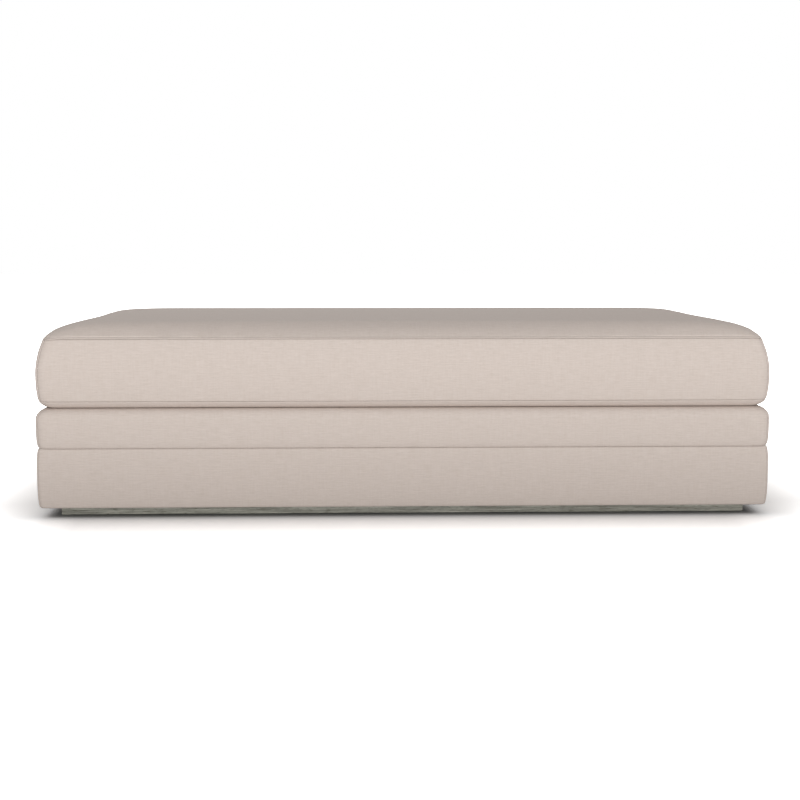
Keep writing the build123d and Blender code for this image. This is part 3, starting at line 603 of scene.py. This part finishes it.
slot_half, slot_low, slot_high, tape_face = 750 * MM, 343.808 * MM, 369.808 * MM, 488 * MM
behind, under_cover, press, core_gap, wrap_inset = 2 * MM, 2 * MM, 3 * MM, 0.3 * MM, 3.5 * MM
edit(cushion)
for height in (slot_low - 2 * behind, slot_low - behind, split, slot_high + behind, slot_high + 2 * behind):
    bpy.ops.mesh.select_all(action="SELECT")
    bpy.ops.mesh.bisect(plane_co=(0, 0, height), plane_no=(0, 0, 1))
for across in (-slot_half - 2 * behind, -slot_half - behind, slot_half + behind, slot_half + 2 * behind):
    bpy.ops.mesh.select_all(action="SELECT")
    bpy.ops.mesh.bisect(plane_co=(across, 0, 0), plane_no=(1, 0, 0))
bpy.ops.object.mode_set(mode="OBJECT")
for half, keep, end in (("top", lambda c: c[:, 2] > split, core_high + core_gap),
                        ("bottom", lambda c: c[:, 2] < split, core_low - core_gap)):
    piece = panel_of(cushion, f"cushion_wrap_{half}_fibre", keep)
    droop(piece)
    edit(piece)
    bpy.ops.mesh.select_all(action="SELECT")
    bpy.ops.transform.shrink_fatten(value=-under_cover)
    bpy.ops.mesh.select_mode(type="EDGE")
    bpy.ops.mesh.region_to_loop()
    bpy.ops.mesh.extrude_region_move()
    bpy.ops.transform.resize(value=((HALF_WIDTH - core_inset) / (HALF_WIDTH - wrap_inset),
                                    (HALF_DEPTH - core_inset) / (HALF_DEPTH - wrap_inset), 1),
                             center_override=(0, 0, split))
    bpy.ops.mesh.extrude_region_move(TRANSFORM_OT_translate={"value": (0, 0, end - split)})
    bpy.ops.mesh.edge_face_add()
    bpy.ops.mesh.select_all(action="SELECT")
    bpy.ops.mesh.normals_make_consistent(inside=False)
    bpy.ops.object.mode_set(mode="OBJECT")
    co = points(piece)
    slot = (np.abs(co[:, 0]) < slot_half + 1.5 * behind) & (co[:, 2] > slot_low - 1.5 * behind) & (
        co[:, 2] < slot_high + 1.5 * behind) & (co[:, 1] > tape_face - press)
    co[slot, 1] = tape_face - press
    set_points(piece, co)
    fill(piece, wadding, "cushion", "wadding", f"cushion_wrap_{half}")

# The top seam is felled: its allowance is turned up under the top panel and sewn down 5 mm
# above the seam, so a flat ridge lies between two drawn-in lines. The lower seam is plain.

crease(cushion, seam_top, (-1.8, 0), (-0.7, -0.5), (0, -2.6), (0.7, -0.9), (1.8, -0.3), (3.45, -0.6),
       (6.8, -2.0), (8.1, -0.8), (10.0, -1.0), (15.0, -0.7), (26.0, 0))
crease(cushion, seam_low, (-4.0, 0), (-2.0, 0.5), (-0.9, 0.2), (0, -1.1), (0.9, 0.1), (3.0, 0))
corner_seams(cushion, seam_low, seam_top, 1.0 * MM)


def cut_panel(piece, level, edge, inset, flat_radius):
    """Stores where each point lies on a crowned panel laid flat, and returns its cut size. The edge
    lists (drop from the flat middle, distance out from it)."""
    co = points(piece)
    drop, out = np.array(edge).T
    longer = np.append(0, np.cumsum(np.hypot(np.diff(drop), np.diff(out)))) - out
    middle = inset + out[-1] + flat_radius
    beyond = np.maximum(np.abs(co[:, :2]) - (HALF_WIDTH - middle, HALF_DEPTH - middle), 0)
    more = np.interp(np.abs(co[:, 2] - level), drop, longer)
    more /= np.maximum(np.hypot(beyond[:, 0], beyond[:, 1]), 1e-6)
    values = np.column_stack([co[:, :2] + np.sign(co[:, :2]) * beyond * more[:, None], 0 * more])
    piece.data.attributes.new("cut", "FLOAT_VECTOR", "POINT").data.foreach_set(
        "vector", values.astype(np.float32).ravel())
    size = tuple(float(v) for v in np.ptp(values[:, :2], axis=0))
    area = sum(face.area for face in piece.data.polygons)
    scale = max(1.0, (area / (size[0] * size[1])) ** 0.5) * CUT_MARGIN
    return (size[0] * scale, size[1] * scale), area


crown_radius = 126 * MM
top = panel_of(cushion, "cushion_top_panel_cloth", lambda c: c[:, 2] > seam_top)
crown_edge = [(rise - up, side_run - gone) for up, gone in crown + [(0, 0)]]
flat, area = cut_panel(top, seam_top + rise, crown_edge, seam_inset, crown_radius)
droop(top)
cloth_piece(top, slub_cloth, "cushion", "woven_cover", flat, ["cushion_wrap_top_fibre"],
            "cushion_top_panel", area=area)
bottom = panel_of(cushion, "cushion_bottom_panel_cloth", lambda c: c[:, 2] < seam_low)
curl_edge = [((seam_low - cushion_low) * at, curl_draw * (1 - drawn)) for at, drawn in curl_shares]
flat, area = cut_panel(bottom, cushion_low, curl_edge, curl_inset, cushion_corner)
cloth_piece(bottom, slub_cloth, "cushion", "woven_cover", flat, ["cushion_wrap_bottom_fibre"],
            "cushion_bottom_panel", area=area)
for side in ("front", "left", "right"):
    piece = panel_of(cushion, f"boxing_{side}_cloth", on_side(side, seam_low, seam_top))
    flat, area = cut_wall(piece, side)
    droop(piece)
    cloth_piece(piece, slub_cloth, "cushion", "woven_cover", flat, ["cushion_wrap_top_fibre"],
                f"boxing_{side}", area=area)

# Rear boxing: two strips with the zip between them, each folded in along a slot 1.5 m long and
# 26 mm high, so the zip lies back out of the way.

lip_turn, lip_depth, slack = 2 * MM, 7.5 * MM, 0.05 * MM
edit(cushion)
for place, facing in (((0, 0, slot_low), (0, 0, 1)), ((0, 0, split), (0, 0, 1)),
                      ((0, 0, slot_high), (0, 0, 1)), ((-slot_half, 0, 0), (1, 0, 0)),
                      ((slot_half, 0, 0), (1, 0, 0))):
    bpy.ops.mesh.select_all(action="SELECT")
    bpy.ops.mesh.bisect(plane_co=place, plane_no=facing)
bpy.ops.object.mode_set(mode="OBJECT")
for half, low, high in (("lower", seam_low, split), ("upper", split, seam_top)):
    piece = panel_of(cushion, f"boxing_rear_{half}_cloth", lambda c: on_side("rear", low, high)(c) & ~(
        (np.abs(c[:, 0]) < slot_half) & (c[:, 2] > slot_low) & (c[:, 2] < slot_high)))
    lip = slot_low if half == "lower" else slot_high
    edit(piece)
    bpy.ops.mesh.select_mode(type="VERT")
    bpy.ops.object.mode_set(mode="OBJECT")
    for v in piece.data.vertices:
        x, z = abs(v.co.x), v.co.z
        v.select = (abs(z - lip) < slack and x < slot_half + slack) or (
            abs(x - slot_half) < slack and slot_low - slack < z < slot_high + slack)
    bpy.ops.object.mode_set(mode="EDIT")
    bpy.ops.mesh.select_mode(type="EDGE")
    bpy.ops.mesh.extrude_region_move(TRANSFORM_OT_translate={"value": (0, -lip_turn, 0)})
    bpy.ops.mesh.extrude_region_move(TRANSFORM_OT_translate={"value": (0, -lip_depth, 0)})
    bpy.ops.object.mode_set(mode="OBJECT")
    flat, area = cut_wall(piece, "rear")
    droop(piece)
    cloth_piece(piece, slub_cloth, "cushion", "woven_cover", flat, ["cushion_wrap_top_fibre"],
                f"boxing_rear_{half}", area=area)
bpy.data.objects.remove(cushion)

# Zip: woven polyester tapes with a rib every 1.2 mm, dyed to match the cloth, two moulded nylon
# coils, and a zinc slider and pull with a baked enamel in the same warm grey.


def ribbed(name, tones, spacing, bump, roughness):
    """A finish with even ribs across X: spacing and bump are in mm."""
    material, tree, shader = new_material(name, roughness)
    place = add_node(tree, "ShaderNodeTexCoord").outputs["Object"]
    ribs = add_node(tree, "ShaderNodeTexWave", {"Vector": place, "Scale": 2 * pi / 20 / (spacing * MM)},
                    bands_direction="X").outputs["Fac"]
    tone = add_node(tree, "ShaderNodeValToRGB", {"Fac": ribs}, ((0.1, tones[0]), (0.8, tones[1])))
    tree.links.new(tone.outputs[0], shader.inputs["Base Color"])
    relief = add_node(tree, "ShaderNodeBump", {"Strength": 0.7, "Distance": bump * MM, "Height": ribs})
    tree.links.new(relief.outputs[0], shader.inputs["Normal"])
    return material


tape_weave = ribbed("woven_zip_tape", ("a89d94", "c0b5ac"), 1.2, 0.2, 0.85)
tape_length, tape_thick, tape_width, tape_edge = 1500 * MM, 0.8 * MM, 12.2 * MM, 0.2 * MM
for half, centre in (("lower", 349.9 * MM), ("upper", 363.7 * MM)):
    bpy.ops.object.select_all(action="DESELECT")
    bpy.ops.mesh.primitive_cube_add(size=1, location=(0, tape_face - tape_thick / 2, centre),
                                    scale=(tape_length, tape_thick, tape_width))
    tape = bpy.context.object
    tape.name = tape.data.name = f"zip_tape_{half}_weave"
    bpy.ops.object.transform_apply(location=True, rotation=True, scale=True)
    bpy.ops.object.mode_set(mode="EDIT")
    bpy.ops.mesh.select_all(action="SELECT")
    bpy.ops.mesh.bevel(offset=tape_edge, segments=2)
    bpy.ops.object.mode_set(mode="OBJECT")
    tape.data.materials.append(tape_weave)
    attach(tape, "cushion")
    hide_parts("zip_tapes")
dress(ribbed("moulded_nylon_coil", ("8d837b", "c3b8af"), 2.4, 0.6, 0.4), "zip_coils")
enamel = mottled("baked_enamel_on_zinc", ("968c84", "a39991"), (0.5, 0.5, 0.5), 0.01, 0.32,
                 Coat_Weight=0.3)
dress(enamel, "zip_slider", "zip_pull", "zip_end_stops")

# Floor and light: a pale paper floor that keeps the object's soft shadow and goes white away from it.
# Its colour adds painted shade close round the object and under the plinth, and is painted lighter at
# both ends, so the shadow is thinner there. A wide soft light in front with a narrow beam, an open one
# behind that adds less, and an even world.

bpy.ops.object.select_all(action="DESELECT")
bpy.ops.mesh.primitive_plane_add(size=60, location=(0, 0, 0))
floor = bpy.context.object
floor.name = "studio_floor"
paper = bpy.data.materials.new("floor_paper_with_painted_shade")
paper.use_nodes = True
tree = paper.node_tree
tree.nodes.clear()
rays = add_node(tree, "ShaderNodeLightPath")
seen = add_node(tree, "ShaderNodeMath", {0: rays.outputs["Is Camera Ray"],
                                         1: rays.outputs["Is Glossy Ray"]}, operation="MAXIMUM")
place = add_node(tree, "ShaderNodeTexCoord").outputs["Object"]
around = add_node(tree, "ShaderNodeVectorMath", {0: place}, operation="ABSOLUTE").outputs[0]
beyond = add_node(tree, "ShaderNodeVectorMath", {0: around, 1: (0.84, 0.45, 0)}, operation="SUBTRACT")
beyond = add_node(tree, "ShaderNodeVectorMath", {0: beyond.outputs[0], 1: (0, 0, 0)}, operation="MAXIMUM")
away = add_node(tree, "ShaderNodeVectorMath", {0: beyond.outputs[0]}, operation="LENGTH").outputs["Value"]
# Painted shade: the object's real shadow falls on the floor, and the floor's colour adds to it, darker
# close round the object, darkest under the plinth, and lighter far off.
painted_shade_near = add_node(tree, "ShaderNodeMapRange", {0: away, 1: 0.03, 2: 0.24, 3: 1.0, 4: 2.2})
painted_contact_shade = add_node(tree, "ShaderNodeMapRange", {0: away, 1: 0.01, 2: 0.036, 3: 0.42, 4: 1.0})
far = add_node(tree, "ShaderNodeMapRange", {0: away, 1: 0.3, 2: 1.5, 3: 1.0, 4: 1.6})
floor_tone_with_painted_shade = add_node(tree, "ShaderNodeMath", {0: painted_shade_near.outputs[0], 1: far.outputs[0]}, operation="MULTIPLY")
floor_tone_with_painted_shade = add_node(tree, "ShaderNodeMath", {0: floor_tone_with_painted_shade.outputs[0], 1: painted_contact_shade.outputs[0]}, operation="MULTIPLY")
reach = add_node(tree, "ShaderNodeSeparateXYZ", {0: around}).outputs
# Painted light: the floor's colour is made lighter at both ends towards the front, so the shadow there is
# thinner.
ends = add_node(tree, "ShaderNodeMapRange", {0: reach["X"], 1: 0.78, 2: 0.90, 3: 0.0, 4: 1.0})
front = add_node(tree, "ShaderNodeMapRange", {0: reach["Y"], 1: 0.30, 2: 0.50, 3: 0.12, 4: 0.45})
painted_end_light = add_node(tree, "ShaderNodeMath", {0: ends.outputs[0], 1: front.outputs[0], 2: 1.0},
                 operation="MULTIPLY_ADD")
floor_tone_with_painted_shade = add_node(tree, "ShaderNodeMath", {0: floor_tone_with_painted_shade.outputs[0], 1: painted_end_light.outputs[0]}, operation="MULTIPLY")
shade = add_node(tree, "ShaderNodeMix", {0: seen.outputs[0], 2: 0.6, 3: floor_tone_with_painted_shade.outputs[0]})
diffuse = add_node(tree, "ShaderNodeBsdfDiffuse", {"Color": shade.outputs[0]})
add_node(tree, "ShaderNodeOutputMaterial", {"Surface": diffuse.outputs[0]})
floor.data.materials.append(paper)
floor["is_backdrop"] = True

world = bpy.data.worlds.new("studio")
bpy.context.scene.world = world
world.use_nodes = True
tree = world.node_tree
tree.nodes.clear()
rays = add_node(tree, "ShaderNodeLightPath")
seen = add_node(tree, "ShaderNodeMath", {0: rays.outputs["Is Camera Ray"],
                                         1: rays.outputs["Is Glossy Ray"]}, operation="MAXIMUM")
level = add_node(tree, "ShaderNodeMix", {0: seen.outputs[0], 2: 0.50, 3: 1.0})
sky = add_node(tree, "ShaderNodeBackground", {"Color": (1, 1, 1, 1), "Strength": level.outputs[0]})
add_node(tree, "ShaderNodeOutputWorld", {"Surface": sky.outputs[0]})


def soft_light(name, place, aim, size, power):
    """A rectangular soft light that faces a point."""
    lamp = bpy.data.objects.new(name, bpy.data.lights.new(name, "AREA"))
    lamp.data.shape, lamp.data.energy = "RECTANGLE", power
    lamp.data.size, lamp.data.size_y = size
    bpy.context.collection.objects.link(lamp)
    lamp.location = place
    away = [p - a for p, a in zip(place, aim)]
    lamp.rotation_euler = (np.arctan2(np.hypot(away[0], away[1]), away[2]), 0,
                           np.arctan2(away[0], -away[1]))
    return lamp


front = soft_light("front_softbox", (0.3, -4.6, 0.52), (0, 0, 0.50), (4.4, 1.0), 9.2)
front.data.spread = radians(14)
soft_light("rear_softbox", (-0.6, 4.6, 2.0), (0, 0, 0.25), (4.0, 1.6), 48)

# Camera: a long lens in front of the ottoman and slightly to the left, a little higher than the
# cushion, so that the top panel shows as a narrow strip.

camera = bpy.data.objects.new("camera", bpy.data.cameras.new("camera"))
bpy.context.collection.objects.link(camera)
camera.location = (-0.118, -3.890, 0.651)
camera.rotation_euler = (radians(90 - 6.14), 0, radians(-1.77))
camera.data.lens, camera.data.sensor_width = 63.85, 36
bpy.context.scene.camera = camera
bpy.context.scene.view_settings.view_transform = "Standard"

low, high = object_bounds()
